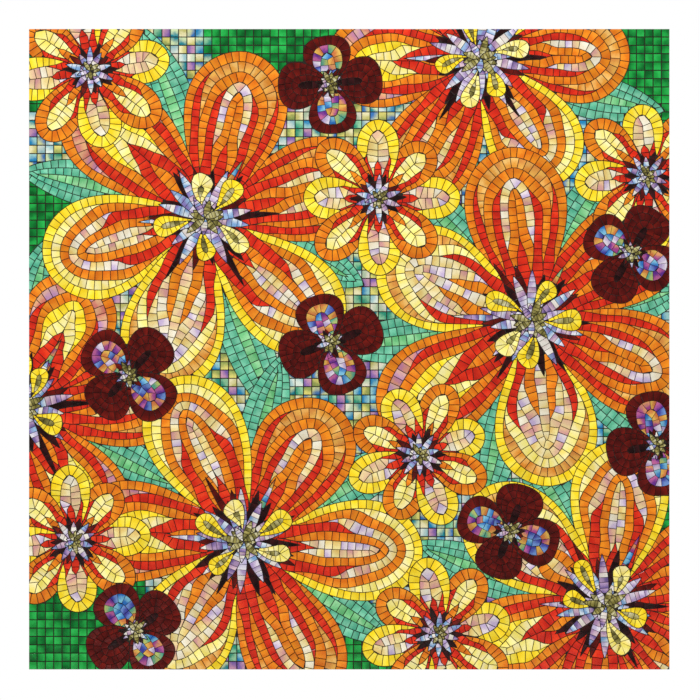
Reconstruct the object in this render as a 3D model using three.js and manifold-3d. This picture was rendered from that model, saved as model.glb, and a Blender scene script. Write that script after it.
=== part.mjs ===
// Wall panel of glass mosaic: a backing board, a mortar bed and fields of tesserae laid as flowers.
// Millimetres, X to the right, Z up. The back lies in the plane Y = 0 and the face looks along -Y.
import * as THREE from 'three';
import { mergeVertices } from 'three/addons/utils/BufferGeometryUtils.js';
import Module from 'manifold-3d';

const wasm = await Module();
wasm.setup();

// Driving dimensions
const TESSERA = 12;
const JOINT = 1;
const TESSERAE_ACROSS = 77;
const PANEL = TESSERAE_ACROSS * (TESSERA + JOINT) - JOINT;
const BOARD_DEPTH = 12;
const BED_DEPTH = 3;
const GLASS_DEPTH = 4;
const BED_FACE = -(BOARD_DEPTH + BED_DEPTH);

// A field smaller than this many tesserae has no solid of its own
const SMALLEST_FIELD = 5;

// A blade is a petal, leaf or shard: its width rises to a peak and falls again along its length
const BLOOM_FORM = { rise: 1.1, fall: 0.55, steps: 8 };
const DAISY_FORM = { rise: 1.1, fall: 0.55, steps: 5 };
const VIOLA_FORM = { rise: 0.8, fall: 0.42, steps: 6 };
const LEAF_FORM = { rise: 0.95, fall: 0.85, steps: 5 };
const SHARD_FORM = { rise: 0.8, fall: 0.9, steps: 2 };

// Large flowers with six petals, from the one laid lowest to the one laid on top
const BLOOMS = [
  { x: -510, z: -90, reach: 245, half: 74, turn: 0, bend: 10 },
  { x: -225, z: 205, reach: 280, half: 80, turn: 12, bend: 10 },
  { x: 205, z: 455, reach: 250, half: 74, turn: 5, bend: -8 },
  { x: 285, z: 45, reach: 275, half: 80, turn: 40, bend: -10 },
  { x: -165, z: -300, reach: 275, half: 79, turn: -8, bend: 10 },
  { x: 400, z: -400, reach: 265, half: 77, turn: 20, bend: 8 },
];
const BLOOM_PETALS = 6;
const BLOOM_HUB = 90;

// Heart of a large flower: a disc in a star of long and short shards
const HEART = 52;
const HEART_DISC = 0.42;
const HEART_SHARDS = 28;
const LONG_SHARD = 1.32;
const SHORT_SHARD = 1.15;
const SHARD_HALF = 0.13;

// Middle-sized flowers with eight petals
const DAISIES = [
  { x: 45, z: 235, reach: 125, half: 33, turn: 0, bend: 0 },
  { x: -405, z: 435, reach: 130, half: 34, turn: 10, bend: 0 },
  { x: 110, z: -165, reach: 115, half: 31, turn: 22, bend: 0 },
  { x: 465, z: 270, reach: 120, half: 32, turn: 5, bend: 0 },
  { x: -430, z: -300, reach: 118, half: 31, turn: 5, bend: 0 },
  { x: 140, z: -445, reach: 120, half: 32, turn: 12, bend: 0 },
];
const DAISY_PETALS = 8;
const DAISY_HUB = 42;

// Small dark flowers with four petals
const VIOLAS = [
  { x: -30, z: 10, reach: 82, half: 38, turn: 20, bend: 0 },
  { x: 440, z: 150, reach: 80, half: 37, turn: 60, bend: 0 },
  { x: 480, z: -150, reach: 82, half: 38, turn: 10, bend: 0 },
  { x: -345, z: -40, reach: 82, half: 38, turn: 48, bend: 0 },
  { x: -30, z: 415, reach: 80, half: 37, turn: 5, bend: 0 },
  { x: -335, z: -440, reach: 80, half: 37, turn: 35, bend: 0 },
  { x: 250, z: -285, reach: 80, half: 37, turn: 70, bend: 0 },
];
const VIOLA_PETALS = 4;
const VIOLA_HUB = 26;

// Leaves that grow from behind a large flower, which the first number names
const LEAVES = [
  [0, 88, 220, -14], [0, -32, 240, 10], [1, 102, 270, 14], [1, 160, 250, 12], [1, 285, 300, 12],
  [1, 342, 220, -10], [2, 337, 250, 14], [3, 8, 200, 8], [3, 68, 250, -12], [3, 128, 260, 10],
  [3, 192, 270, -10], [3, 250, 270, 12], [3, 312, 260, 10], [4, -38, 240, 10], [4, 24, 260, 12],
  [4, 84, 250, -12], [5, 112, 240, 12], [5, 168, 270, -12],
].map(([flower, aim, length, bend]) => ({ ...BLOOMS[flower], aim, length, bend }));
const LEAF_HALF = 36;
const LEAF_START = 50;

// Finishes
const BOARD_GREY = { color: 0xb9b6ae, roughness: 0.95, metalness: 0 };
const MORTAR = { color: 0x6b6257, roughness: 0.95, metalness: 0 };
const ORANGE_GLASS = { color: 0xe0701c, roughness: 0.3, metalness: 0 };
const PEARL_GLASS = { color: 0xb9a9c4, roughness: 0.25, metalness: 0 };
const YELLOW_GLASS = { color: 0xe8bf4a, roughness: 0.3, metalness: 0 };
const WINE_GLASS = { color: 0x5a1618, roughness: 0.2, metalness: 0 };
const LEAF_GLASS = { color: 0x5fb890, roughness: 0.3, metalness: 0 };
const GROUND_GLASS = { color: 0x3f9a86, roughness: 0.3, metalness: 0 };

// Point of the panel's face at a distance along and across a blade's bent axis
function placeOnAxis(blade, along, across) {
  const curve = THREE.MathUtils.degToRad(blade.bend) / (blade.start + blade.length);
  const distance = blade.start + along;
  const angle = curve * distance;
  const isStraight = Math.abs(curve) < 1e-6;
  const x = isStraight ? distance : Math.sin(angle) / curve;
  const z = isStraight ? 0 : (1 - Math.cos(angle)) / curve;
  return new THREE.Vector2(x - across * Math.sin(angle), z + across * Math.cos(angle))
    .rotateAround(new THREE.Vector2(), THREE.MathUtils.degToRad(blade.aim))
    .add(new THREE.Vector2(blade.x, blade.z));
}

// Outline of a blade, from its base along the right side to the tip and back along the left
function bladeOutline(blade, form) {
  const peak = form.rise / (form.rise + form.fall);
  const right = [];
  const left = [];
  for (let i = 0; i < form.steps; i++) {
    const share = 0.5 * (1 - Math.cos(Math.PI * i / form.steps));
    const width = (share / peak) ** form.rise * ((1 - share) / (1 - peak)) ** form.fall;
    right.push(placeOnAxis(blade, blade.length * share, -blade.half * width));
    left.unshift(placeOnAxis(blade, blade.length * share, blade.half * width));
  }
  const tip = placeOnAxis(blade, blade.length, 0);
  return [...right, tip, ...left.slice(0, -1)];
}

function disc(centre, radius, sides = 24) {
  const angles = Array.from({ length: sides }, (_, i) => 2 * Math.PI * i / sides);
  const middle = new THREE.Vector2(centre.x, centre.z);
  return angles.map((a) => new THREE.Vector2(radius, 0).rotateAround(new THREE.Vector2(), a).add(middle));
}

function square(side) {
  const corners = [[-1, -1], [1, -1], [1, 1], [-1, 1]];
  return corners.map(([x, z]) => new THREE.Vector2(x, z).multiplyScalar(side / 2));
}

// Outlines of a flower's petals, whose lengths and bends vary a little in a fixed rhythm
function petalOutlines(flower, number, petals, form) {
  return Array.from({ length: petals }, (_, k) => bladeOutline({
    ...flower,
    aim: flower.turn + 360 * k / petals,
    length: flower.reach * (0.98 + 0.05 * Math.sin(2.4 * k + 1.7 * number)),
    bend: flower.bend + 4 * Math.cos(1.9 * k + number),
    start: 0,
  }, form));
}

function heartOutlines(flower, number) {
  const shards = Array.from({ length: HEART_SHARDS }, (_, k) => bladeOutline({
    ...flower,
    aim: 360 * k / HEART_SHARDS + 4 * Math.sin(2.1 * k + number),
    length: HEART * ((k % 2 ? SHORT_SHARD : LONG_SHARD) + 0.12 * Math.sin(1.3 * k + number)),
    half: HEART * SHARD_HALF,
    bend: 0,
    start: 0,
  }, SHARD_FORM));
  return [...shards, disc(flower, HEART * HEART_DISC)];
}

// Moves an outline outwards, with its corners mitred
function grow(outline, distance) {
  return outline.map((point, i) => {
    const before = point.clone().sub(outline.at(i - 1)).normalize();
    const after = outline[(i + 1) % outline.length].clone().sub(point).normalize();
    const outward = new THREE.Vector2(before.y + after.y, -before.x - after.x).normalize();
    const slant = Math.max(0.5, outward.x * after.y - outward.y * after.x);
    return point.clone().addScaledVector(outward, distance / slant);
  });
}

function toSolid(geometry) {
  geometry.deleteAttribute('normal');
  geometry.deleteAttribute('uv');
  const merged = mergeVertices(geometry);
  return new wasm.Manifold(new wasm.Mesh({
    numProp: 3,
    vertProperties: new Float32Array(merged.attributes.position.array),
    triVerts: new Uint32Array(merged.index.array),
  }));
}

// Plate of glass over an outline; spare makes it stand out at the face and the back, as a cutter
function plate(outline, spare = 0) {
  const depth = GLASS_DEPTH + 2 * spare;
  const geometry = new THREE.ExtrudeGeometry(new THREE.Shape(outline), { depth, bevelEnabled: false });
  geometry.rotateX(Math.PI / 2);
  geometry.translate(0, BED_FACE + spare, 0);
  return toSolid(geometry);
}

function join(solids) {
  return solids.reduce((sum, solid) => sum.add(solid));
}

// Takes outlines and the joint round them out of a solid
function cut(solid, outlines) {
  return outlines.reduce((rest, outline) => rest.subtract(plate(grow(outline, JOINT), JOINT)), solid);
}

// Flower in one plate: joints run between its petals and end at the hub
function whorl(outlines, hub) {
  const petals = outlines.map((outline, k) => cut(plate(outline), outlines.slice(k + 1)));
  return join([plate(hub), ...petals]);
}

// Panel that is filled from the top layer down, so that each field is cut by those above it
class Panel {
  constructor(side) {
    this.free = plate(square(side));
    this.group = new THREE.Group();
  }

  lay(name, solid, outlines, finish) {
    const islands = solid.intersect(this.free).decompose().sort((a, b) => b.volume() - a.volume());
    const least = SMALLEST_FIELD * TESSERA ** 2 * GLASS_DEPTH;
    islands.filter((island) => island.volume() > least).forEach((island, i) => {
      this.add(i ? `${name}_${i + 1}` : name, toGeometry(island), finish);
    });
    this.free = cut(this.free, outlines);
  }

  add(name, geometry, finish) {
    const mesh = new THREE.Mesh(geometry, new THREE.MeshStandardMaterial(finish));
    mesh.name = name;
    this.group.add(mesh);
    return mesh;
  }
}

function toGeometry(solid) {
  const { vertProperties, triVerts } = solid.getMesh();
  const geometry = new THREE.BufferGeometry();
  geometry.setAttribute('position', new THREE.BufferAttribute(vertProperties, 3));
  geometry.setIndex(new THREE.BufferAttribute(triVerts, 1));
  return geometry;
}

function slab(depth) {
  return new THREE.BoxGeometry(PANEL, depth, PANEL);
}

function laySmallFlowers(panel) {
  for (let n = VIOLAS.length; n > 0; n--) {
    const petals = petalOutlines(VIOLAS[n - 1], n, VIOLA_PETALS, VIOLA_FORM);
    const flower = whorl(petals, disc(VIOLAS[n - 1], VIOLA_HUB));
    panel.lay(`small_flower_${n}`, flower, petals, WINE_GLASS);
  }
}

function layMiddleFlowers(panel) {
  for (let n = DAISIES.length; n > 0; n--) {
    const petals = petalOutlines(DAISIES[n - 1], n, DAISY_PETALS, DAISY_FORM);
    const flower = whorl(petals, disc(DAISIES[n - 1], DAISY_HUB));
    panel.lay(`middle_flower_${n}`, flower, petals, YELLOW_GLASS);
  }
}

function layLargeFlowers(panel) {
  for (let n = BLOOMS.length; n > 0; n--) {
    const shards = heartOutlines(BLOOMS[n - 1], n);
    const heart = join(shards.map((outline) => plate(outline)));
    panel.lay(`large_flower_${n}_heart`, heart, shards, PEARL_GLASS);
    const petals = petalOutlines(BLOOMS[n - 1], n, BLOOM_PETALS, BLOOM_FORM);
    const flower = whorl(petals, disc(BLOOMS[n - 1], BLOOM_HUB));
    panel.lay(`large_flower_${n}_petals`, flower, petals, ORANGE_GLASS);
  }
}

function layLeaves(panel) {
  for (let n = LEAVES.length; n > 0; n--) {
    const outline = bladeOutline({ ...LEAVES[n - 1], half: LEAF_HALF, start: LEAF_START }, LEAF_FORM);
    panel.lay(`leaf_${n}`, plate(outline), [outline], LEAF_GLASS);
  }
}

const panel = new Panel(PANEL);
laySmallFlowers(panel);
layMiddleFlowers(panel);
layLargeFlowers(panel);
layLeaves(panel);
panel.lay('ground', plate(square(PANEL)), [], GROUND_GLASS);
panel.add('backing_board', slab(BOARD_DEPTH), BOARD_GREY).position.y = -BOARD_DEPTH / 2;
panel.add('mortar_bed', slab(BED_DEPTH), MORTAR).position.y = -BOARD_DEPTH - BED_DEPTH / 2;

export default panel.group;
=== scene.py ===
"""Visual model of a square wall panel of glass mosaic, in metres.

The face looks along -Y and the back lies in the plane Y = 0. Every tessera is a closed body of glass of its
own, cut to its place in a row, set in dark mortar on a cement board.
"""

import logging
import math
from collections.abc import Iterable, Sequence
from dataclasses import dataclass, replace
from enum import Enum

import bmesh
import bpy
import numpy as np
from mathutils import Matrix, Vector
from mathutils.geometry import delaunay_2d_cdt


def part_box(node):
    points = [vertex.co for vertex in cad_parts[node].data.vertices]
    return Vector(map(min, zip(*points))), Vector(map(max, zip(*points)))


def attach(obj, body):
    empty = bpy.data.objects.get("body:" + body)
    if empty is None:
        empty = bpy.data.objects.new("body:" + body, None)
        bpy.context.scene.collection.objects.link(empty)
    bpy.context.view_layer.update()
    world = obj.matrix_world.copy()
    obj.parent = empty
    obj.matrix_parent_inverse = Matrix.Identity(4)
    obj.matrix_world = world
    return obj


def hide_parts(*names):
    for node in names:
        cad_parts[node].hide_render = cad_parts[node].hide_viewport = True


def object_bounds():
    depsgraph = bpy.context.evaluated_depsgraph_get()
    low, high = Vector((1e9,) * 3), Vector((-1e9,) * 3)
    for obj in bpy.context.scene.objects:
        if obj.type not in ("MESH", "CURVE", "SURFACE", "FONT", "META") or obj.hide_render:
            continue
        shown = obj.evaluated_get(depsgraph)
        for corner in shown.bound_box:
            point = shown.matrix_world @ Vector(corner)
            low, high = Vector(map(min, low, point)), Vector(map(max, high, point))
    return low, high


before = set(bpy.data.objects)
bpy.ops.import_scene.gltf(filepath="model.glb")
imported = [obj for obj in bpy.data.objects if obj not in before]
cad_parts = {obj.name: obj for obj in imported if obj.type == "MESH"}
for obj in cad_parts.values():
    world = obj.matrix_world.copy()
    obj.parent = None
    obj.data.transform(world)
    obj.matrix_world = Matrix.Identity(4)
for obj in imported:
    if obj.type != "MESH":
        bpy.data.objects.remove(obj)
CAD_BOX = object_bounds()

SEED = 7
MM = 0.001
PANEL = CAD_BOX[1].x - CAD_BOX[0].x
BOARD_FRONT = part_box("backing_board")[0].y
BED_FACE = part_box("mortar_bed")[0].y
GLASS_FACE = CAD_BOX[0].y
TESSERA = 12 * MM
JOINT = 1 * MM
MORTAR_BELOW_GLASS = 1.2 * MM
SMALLEST_TESSERA = 5 * MM**2
SHORTEST_EDGE = 0.2 * MM
SHARPEST_MITRE = 0.35
TINY = 1e-9
UPRIGHT = 0.3

Value = "float | int | Sequence[float] | Signal"


class Signal:
    """Output socket of a node; arithmetic on it adds Math nodes to the same tree."""

    def __init__(self, bench: "NodeBench", socket: bpy.types.NodeSocket) -> None:
        """Keep the bench that adds nodes and the socket that this value comes from."""
        self.bench = bench
        self.socket = socket

    def __add__(self, other: Value) -> "Signal":
        """Sum of two values."""
        return self.bench.math("ADD", self, other)

    def __sub__(self, other: Value) -> "Signal":
        """Difference of two values."""
        return self.bench.math("SUBTRACT", self, other)

    def __rsub__(self, other: Value) -> "Signal":
        """Difference with a number on the left."""
        return self.bench.math("SUBTRACT", other, self)

    def __mul__(self, other: Value) -> "Signal":
        """Product of two values."""
        return self.bench.math("MULTIPLY", self, other)

    def __truediv__(self, other: Value) -> "Signal":
        """Quotient of two values."""
        return self.bench.math("DIVIDE", self, other)

    def __rtruediv__(self, other: Value) -> "Signal":
        """Quotient with a number on the left."""
        return self.bench.math("DIVIDE", other, self)

    __radd__ = __add__
    __rmul__ = __mul__


class NodeBench:
    """Adds nodes to a material's or a modifier's tree."""

    def __init__(self, tree: bpy.types.NodeTree) -> None:
        """Keep the tree that the nodes go into."""
        self.tree = tree

    def node(self, kind: str, settings: dict | None = None, inputs: dict | None = None) -> bpy.types.Node:
        """Add a node.

        Args:
            kind: Blender's name of the node's type.
            settings: the node's own properties, which are set first.
            inputs: values or signals by the name or number of the input socket.

        Returns:
            The new node.
        """
        node = self.tree.nodes.new(kind)
        for name, value in (settings or {}).items():
            setattr(node, name, value)
        self.feed(node, inputs or {})
        return node

    def feed(self, node: bpy.types.Node, inputs: dict) -> None:
        """Link signals to a node's inputs, or set the inputs to constants."""
        for key, value in inputs.items():
            socket = self._socket(node.inputs, key)
            if isinstance(value, Signal):
                self.tree.links.new(value.socket, socket)
            else:
                socket.default_value = value

    def out(
        self, kind: str, settings: dict | None = None, inputs: dict | None = None, output: str | int = 0
    ) -> Signal:
        """Add a node, as node() does, and return the output of a name or number."""
        return Signal(self, self._socket(self.node(kind, settings, inputs).outputs, output))

    def math(self, operation: str, first: Value, second: Value = 0.0) -> Signal:
        """Add a Math node on one or two values."""
        return self.out("ShaderNodeMath", {"operation": operation}, {0: first, 1: second})

    def vector(self, operation: str, first: Value, second: Value, output: str = "Vector") -> Signal:
        """Add a Vector Math node on two vectors; output "Value" gives a number, as for a dot product."""
        return self.out("ShaderNodeVectorMath", {"operation": operation}, {0: first, 1: second}, output)

    def axis(self, vector: Signal, name: str) -> Signal:
        """Take one coordinate of a vector."""
        return self.out("ShaderNodeSeparateXYZ", None, {0: vector}, name)

    def mix(self, share: Value, first: Value, second: Value) -> Signal:
        """Mix two colours by a share of the second."""
        settings = {"data_type": "RGBA", "blend_type": "MIX"}
        return self.out("ShaderNodeMix", settings, {"Factor": share, "A": first, "B": second}, "Result")

    def noise(self, scale: Value, detail: float, place: Signal | None = None) -> Signal:
        """Add cloudy noise from 0 to 1, with about as many clouds to the metre as its scale."""
        given = {} if place is None else {"Vector": place}
        return self.out("ShaderNodeTexNoise", None, {**given, "Scale": scale, "Detail": detail}, "Fac")

    def smooth(self, value: Signal, low: float = 0.0, high: float = 1.0) -> Signal:
        """Turn values from low to high into a smooth step from 0 to 1."""
        inputs = {"Value": value, "From Min": low, "From Max": high}
        return self.out("ShaderNodeMapRange", {"interpolation_type": "SMOOTHSTEP"}, inputs, "Result")

    def bump(self, strength: float, distance: float, height: Signal) -> Signal:
        """Turn heights from 0 to 1 into a normal."""
        inputs = {"Strength": strength, "Distance": distance, "Height": height}
        return self.out("ShaderNodeBump", None, inputs, "Normal")

    def close(self, *parts: Signal, gap: float) -> Signal:
        """Join meshes and merge the points that lie within a gap of each other."""
        join = self.node("GeometryNodeJoinGeometry")
        for part in parts:
            self.tree.links.new(part.socket, join.inputs[0])
        inputs = {"Geometry": Signal(self, join.outputs[0]), "Distance": gap}
        return self.out("GeometryNodeMergeByDistance", None, inputs)

    @staticmethod
    def _socket(sockets: Iterable[bpy.types.NodeSocket], key: str | int) -> bpy.types.NodeSocket:
        """Find a socket by its number, or by its name among those in use."""
        if isinstance(key, int):
            return sockets[key]
        return next(s for s in sockets if s.name == key and s.enabled)


def linear(code: int) -> tuple[float, float, float, float]:
    """Linear colour of a hexadecimal sRGB code.

    Args:
        code: colour such as 0xE07020.

    Returns:
        Red, green, blue and alpha.
    """
    parts = [(code >> shift & 255) / 255 for shift in (16, 8, 0)]
    return *(p / 12.92 if p <= 0.04045 else ((p + 0.055) / 1.055) ** 2.4 for p in parts), 1.0


@dataclass(frozen=True)
class Melt:
    """One kind of glass: pairs of colours that run across a tessera, and its share of pearl; on plain glass
    the run is the glass's own streaks, on pearly glass it is painted iridescent sheen.
    """

    pairs: tuple[tuple[int, int], ...]
    pearl: float = 0.0


class Glass(Enum):
    """Glasses of the panel."""

    RED = Melt(((0xD22209, 0xE43A14), (0xDA2C0E, 0xC41E09), (0xC01D0C, 0xD82E10)))
    ORANGE = Melt(((0xE0740A, 0xEE901E), (0xD66A06, 0xE48214), (0xEA8A12, 0xDA760C)))
    AMBER = Melt(((0xE59A34, 0xF2C06C), (0xDA8628, 0xE8AC58), (0xE8AE50, 0xD48A40)), 0.35)
    YELLOW = Melt(((0xFADA1A, 0xFCE650), (0xFBDE34, 0xF3CE10)))
    LEMON = Melt(((0xFAEC80, 0xFAF0A8), (0xF6E468, 0xFAEC90), (0xF4DE70, 0xF7EAAC)))
    CREAM = Melt(
        (
            (0xF7E9B8, 0xEED488), (0xF3D9A0, 0xE6BC9A), (0xEDE0E2, 0xC8B4D8), (0xF6F0DA, 0xEDE0C2),
            (0xEBC294, 0xD59A98), (0xF4E49C, 0xE9C672),
        ),
        0.6,
    )
    ROSE = Melt(
        (
            (0xE09A7C, 0xC682A2), (0xD67A6E, 0xE6B084), (0xC290BA, 0xE1B0A6), (0xEBB280, 0xD98278),
        ),
        0.6,
    )
    WINE = Melt(((0x5C120E, 0x440C0A), (0x6E160E, 0x500F0C), (0x4C0E0C, 0x621410)))
    BLACK = Melt(((0x2A1011, 0x1A0A0B), (0x3A1416, 0x220D0F)))
    AQUA = Melt(((0x5CB592, 0x82CEAC), (0x4FAA8A, 0x6EC29E), (0x76C6A4, 0x56AC88)), 0.1)
    LIME = Melt(((0x6CC07E, 0x96D79C), (0x60B472, 0x82CC8C)), 0.1)
    EMERALD = Melt(((0x1FA344, 0x0C6E2C), (0x169038, 0x28B04E), (0x0F8234, 0x085C24)), 0.15)
    OPAL = Melt(
        (
            (0x1F86BE, 0xA4D6D2), (0xE2D878, 0x92A258), (0x7E60AC, 0xD09CB6), (0x2F967A, 0x98D0A4),
            (0xE0EADC, 0x98C2C6), (0x3A74B6, 0xD6DA9A), (0xF0E8BA, 0xC4BE70), (0x1C8494, 0xD2E2B0),
            (0xEEE8D2, 0xB4CAAA),
        ),
        0.8,
    )
    OLIVE = Melt(
        (
            (0xA89E5A, 0x7A7234), (0xC4BC84, 0x958C4C), (0x8A8248, 0x5E5828), (0xD6D0A6, 0xA69E62),
        ),
        0.5,
    )
    PEARL = Melt(
        (
            (0xB49CCC, 0xEAE0F0), (0x8A7CBC, 0x98BCE0), (0xDCC0CC, 0xAC88B0), (0xF0ECF2, 0xC4BADC),
            (0x74609C, 0xBA9CC4), (0x7EA8D6, 0xDCE8F2), (0xE8DCD4, 0xF4F0E4),
        ),
        0.85,
    )
    JEWEL = Melt(
        (
            (0x64308E, 0xC2669A), (0x2F72C0, 0x84C4DE), (0xE5B858, 0xCC7442), (0x56A48C, 0xB8C26E),
            (0x9C4288, 0xE09A66), (0x40409A, 0x7498D4), (0xE6DCE8, 0xB4A0CC),
        ),
        0.8,
    )


@dataclass
class Tessera:
    """Footprint of one tessera: its corners in (x, z), counter-clockwise from the front, and its glass."""

    points: np.ndarray
    glass: Glass


def signed_area(points: np.ndarray) -> float:
    """Area inside an outline, negative where the outline runs clockwise."""
    x, z = points.T
    return 0.5 * float(x[:-1] @ z[1:] - z[:-1] @ x[1:] + x[-1] * z[0] - z[-1] * x[0])


def shift_edges(points: np.ndarray, distance: float) -> np.ndarray:
    """Move an outline's edges outwards, with mitred corners.

    Args:
        points: counter-clockwise corners.
        distance: how far to move, negative for inwards.

    Returns:
        The moved corners.
    """
    edge = points - points[np.arange(len(points)) - 1]
    before = np.stack([edge[:, 1], -edge[:, 0]], 1) / np.maximum(np.hypot(*edge.T), TINY)[:, None]
    after = np.concatenate([before[1:], before[:1]])
    outward = before + after
    outward /= np.maximum(np.hypot(*outward.T), TINY)[:, None]
    slant = np.maximum(SHARPEST_MITRE, (outward * after).sum(1))
    return points + outward * (distance / slant)[:, None]


def depth_inside(points: np.ndarray, outline: np.ndarray) -> np.ndarray:
    """How deep points lie inside an outline.

    Args:
        points: rows of (x, z).
        outline: corners of the outline.

    Returns:
        Distances to the outline, negative for points outside it.
    """
    edge = np.roll(outline, -1, axis=0) - outline
    to_point = points[:, None] - outline
    share = np.clip((to_point * edge).sum(2) / np.maximum((edge**2).sum(1), 1e-18), 0, 1)
    gap = np.hypot(*np.moveaxis(to_point - share[..., None] * edge, 2, 0)).min(1)
    above = to_point[..., 1] >= 0
    turns = np.roll(to_point, -1, axis=1)[..., 1] >= 0
    left = edge[:, 0] * to_point[..., 1] - edge[:, 1] * to_point[..., 0] > 0
    crossings = (above & ~turns & ~left) | (~above & turns & left)
    return np.where(crossings.sum(1) % 2, gap, -gap)


def inset(points: np.ndarray, distance: float) -> np.ndarray:
    """Find how far each corner moves when the edges are eased, by less where the footprint is slim.

    Args:
        points: counter-clockwise corners.
        distance: how far the edges move inwards at most.

    Returns:
        The corners' moves as rows of (x, 0, z).
    """
    edges = np.roll(points, -1, axis=0) - points
    for share in (1, 0.6, 0.3):
        moved = shift_edges(points, -share * distance)
        ahead = ((np.roll(moved, -1, axis=0) - moved) * edges).sum(1) > 0
        if ahead.all() and (depth_inside(moved, points) > 0).all():
            break
    else:
        moved = points + 0.1 * (points.mean(0) - points)
    x, z = (moved - points).T
    return np.stack([x, np.zeros_like(x), z], 1)


def cut_to_box(outline: np.ndarray, low: np.ndarray, high: np.ndarray) -> np.ndarray:
    """Keep the part of an outline that lies in an upright box.

    Args:
        outline: corners of the outline.
        low: lower corner of the box.
        high: upper corner of the box.

    Returns:
        Corners of the part, or none.
    """
    for axis in (0, 1):
        for sign, limit in ((1, low[axis]), (-1, high[axis])):
            depth = sign * (outline[:, axis] - limit)
            inside = depth >= 0
            if inside.all():
                continue
            if not inside.any():
                return outline[:0]
            ahead = np.roll(depth, -1)
            leaves = inside != (ahead >= 0)
            share = depth / np.where(leaves, depth - ahead, 1)
            met = outline + share[:, None] * (np.roll(outline, -1, axis=0) - outline)
            outline = np.stack([outline, met], 1)[np.stack([inside, leaves], 1)]
    return outline


def cut_back(tessera: Tessera, distance: float) -> Tessera | None:
    """Cut a tessera back on all sides to leave its share of the joint.

    Args:
        tessera: footprint that reaches the middle of the joints.
        distance: half of the joint.

    Returns:
        The smaller footprint, or nothing where too little is left.
    """
    points = tessera.points if signed_area(tessera.points) > 0 else tessera.points[::-1]
    inner = shift_edges(points, -distance)
    edges = np.roll(points, -1, axis=0) - points
    left = np.roll(inner, -1, axis=0) - inner
    for i in np.flatnonzero((edges * left).sum(1) <= 0):
        j = (i + 1) % len(inner)
        inner[i] = inner[j] = (inner[i] + inner[j]) / 2
    keep = np.hypot(*(inner - np.roll(inner, 1, axis=0)).T) > SHORTEST_EDGE
    inner = inner[keep]
    if len(inner) < 3 or signed_area(inner) < SMALLEST_TESSERA:
        return None
    return replace(tessera, points=inner)


@dataclass(frozen=True)
class Form:
    """How a blade's width rises to a peak and falls again along its length."""

    rise: float
    fall: float

    def width(self, share: np.ndarray) -> np.ndarray:
        """Share of the greatest width at each share of the length."""
        peak = self.rise / (self.rise + self.fall)
        return (share / peak) ** self.rise * ((1 - share) / (1 - peak)) ** self.fall


@dataclass(frozen=True)
class Blade:
    """Petal, leaf or shard on a bent axis, with its angles in degrees."""

    x: float
    z: float
    aim: float
    length: float
    half: float
    form: Form
    bend: float = 0.0
    start: float = 0.0

    def place(self, along: np.ndarray, across: np.ndarray) -> np.ndarray:
        """Turn distances along and across the bent axis into points of the panel's face.

        Args:
            along: distances from the blade's base.
            across: distances to the left of the axis.

        Returns:
            Points as rows of (x, z).
        """
        distance = along + self.start
        curve = math.radians(self.bend) / (self.start + self.length) or TINY
        angle = curve * distance
        x = np.sin(angle) / curve - across * np.sin(angle)
        z = (1 - np.cos(angle)) / curve + across * np.cos(angle)
        cos, sin = math.cos(math.radians(self.aim)), math.sin(math.radians(self.aim))
        return np.stack([self.x + x * cos - z * sin, self.z + x * sin + z * cos], -1)

    def outline(self, steps: int = 22) -> np.ndarray:
        """Outline from the base along the right side to the tip and back along the left."""
        share = 0.5 * (1 - np.cos(np.pi * np.linspace(0, 1, steps)))
        across = self.half * self.form.width(share)
        right = self.place(self.length * share, -across)
        left = self.place(self.length * share, across)
        return np.concatenate([right[:-1], left[:0:-1]])


class Contours:
    """Contours nested in a blade, from its axis to its outline."""

    SHARES = 41
    STEPS = 161
    STEPS_ALONG = 300

    def __init__(self, blade: Blade) -> None:
        """Tabulate the contours, each by its share of the way from the base to the tip."""
        self.blade = blade
        self.way = np.linspace(0, 1, self.STEPS)
        share_along = 0.5 * (1 - np.cos(np.pi * np.linspace(0, 1, self.STEPS_ALONG)))
        width = blade.form.width(share_along)
        rows = []
        for share in np.linspace(0, 1, self.SHARES):
            along = (blade.length - (1 - share) * blade.half) * share_along
            across = share * blade.half * width
            gone = np.concatenate([[0], np.cumsum(np.hypot(np.diff(along), np.diff(across)))])
            rows.append([np.interp(self.way, gone / gone[-1], line) for line in (along, across)])
        self.along, self.across = np.transpose(rows, (1, 0, 2))

    def points(self, share: np.ndarray, way: np.ndarray, side: np.ndarray) -> np.ndarray:
        """Points of the panel's face on the contours.

        Args:
            share: which contour, from 0 at the axis to 1 at the outline.
            way: share of the way from the base to the tip.
            side: 1 to the left of the axis and -1 to the right.

        Returns:
            Points as rows of (x, z).
        """
        c = np.clip(share, 0, 1) * (self.SHARES - 1)
        s = np.clip(way, 0, 1) * (self.STEPS - 1)
        i = np.minimum(c.astype(int), self.SHARES - 2)
        j = np.minimum(s.astype(int), self.STEPS - 2)
        a, b = c - i, s - j

        def read(table: np.ndarray) -> np.ndarray:
            """Read the table between its entries."""
            low = (1 - b) * table[i, j] + b * table[i, j + 1]
            high = (1 - b) * table[i + 1, j] + b * table[i + 1, j + 1]
            return (1 - a) * low + a * high

        return self.blade.place(read(self.along), side * read(self.across))


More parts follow.
